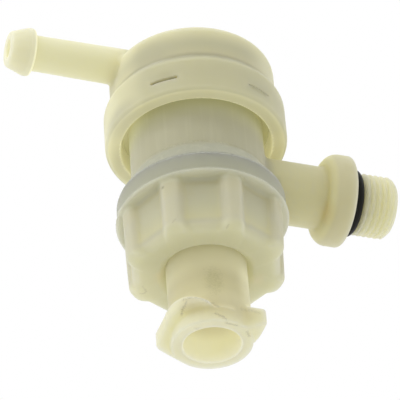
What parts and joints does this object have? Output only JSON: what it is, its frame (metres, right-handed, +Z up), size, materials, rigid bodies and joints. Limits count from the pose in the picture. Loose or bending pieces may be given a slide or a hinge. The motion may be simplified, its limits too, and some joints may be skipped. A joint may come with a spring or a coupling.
{
  "type": "anti-drip valve",
  "caption": "Plastic anti-drip valve for a coffee machine: bayonet inlet, ring nut, threaded side outlet with seal ring, and clipped drain cap with hose barb.",
  "frame": {"origin": "centre of the inlet connector's end face, at the mouth of its socket", "axes": "+Z up the valve's axis from the inlet towards the drain cap, +X along the threaded outlet stub, hose barb towards -X"},
  "size_m": [0.0603, 0.028, 0.0551],
  "materials": {
    "natural_plastic": "satin, natural ivory, slightly translucent",
    "white_plastic": "satin",
    "black_rubber": "satin",
    "grey_rubber": "matte",
    "red_silicone": "matte",
    "spring_wire": "drawn wire"
  },
  "bodies": {
    "housing": {"inlet_connector": "natural_plastic", "ring_nut": "natural_plastic", "face_seal": "grey_rubber", "valve_body": "natural_plastic", "stub_seal_ring": "black_rubber", "check_spring": "spring_wire", "diaphragm": "red_silicone", "drain_spring": "spring_wire", "cap_seal_ring": "black_rubber", "drain_cap": "natural_plastic"},
    "poppet": {"check_poppet": "white_plastic", "poppet_seal": "grey_rubber"},
    "plate": {"diaphragm_plate": "white_plastic", "drain_pad": "grey_rubber"}
  },
  "joints": [
    {"name": "check_lift", "type": "slide", "parent": "housing", "child": "poppet", "axis": [0, 0, 1], "range_m": [0, 0.002], "stiffness_N_per_m": 150, "springref_m": -0.004, "deforming": ["check_spring"]},
    {"name": "drain_close", "type": "slide", "parent": "housing", "child": "plate", "axis": [0, 0, 1], "range_m": [0, 0.0015], "stiffness_N_per_m": 100, "springref_m": -0.003, "deforming": ["drain_spring", "diaphragm"]}
  ]
}
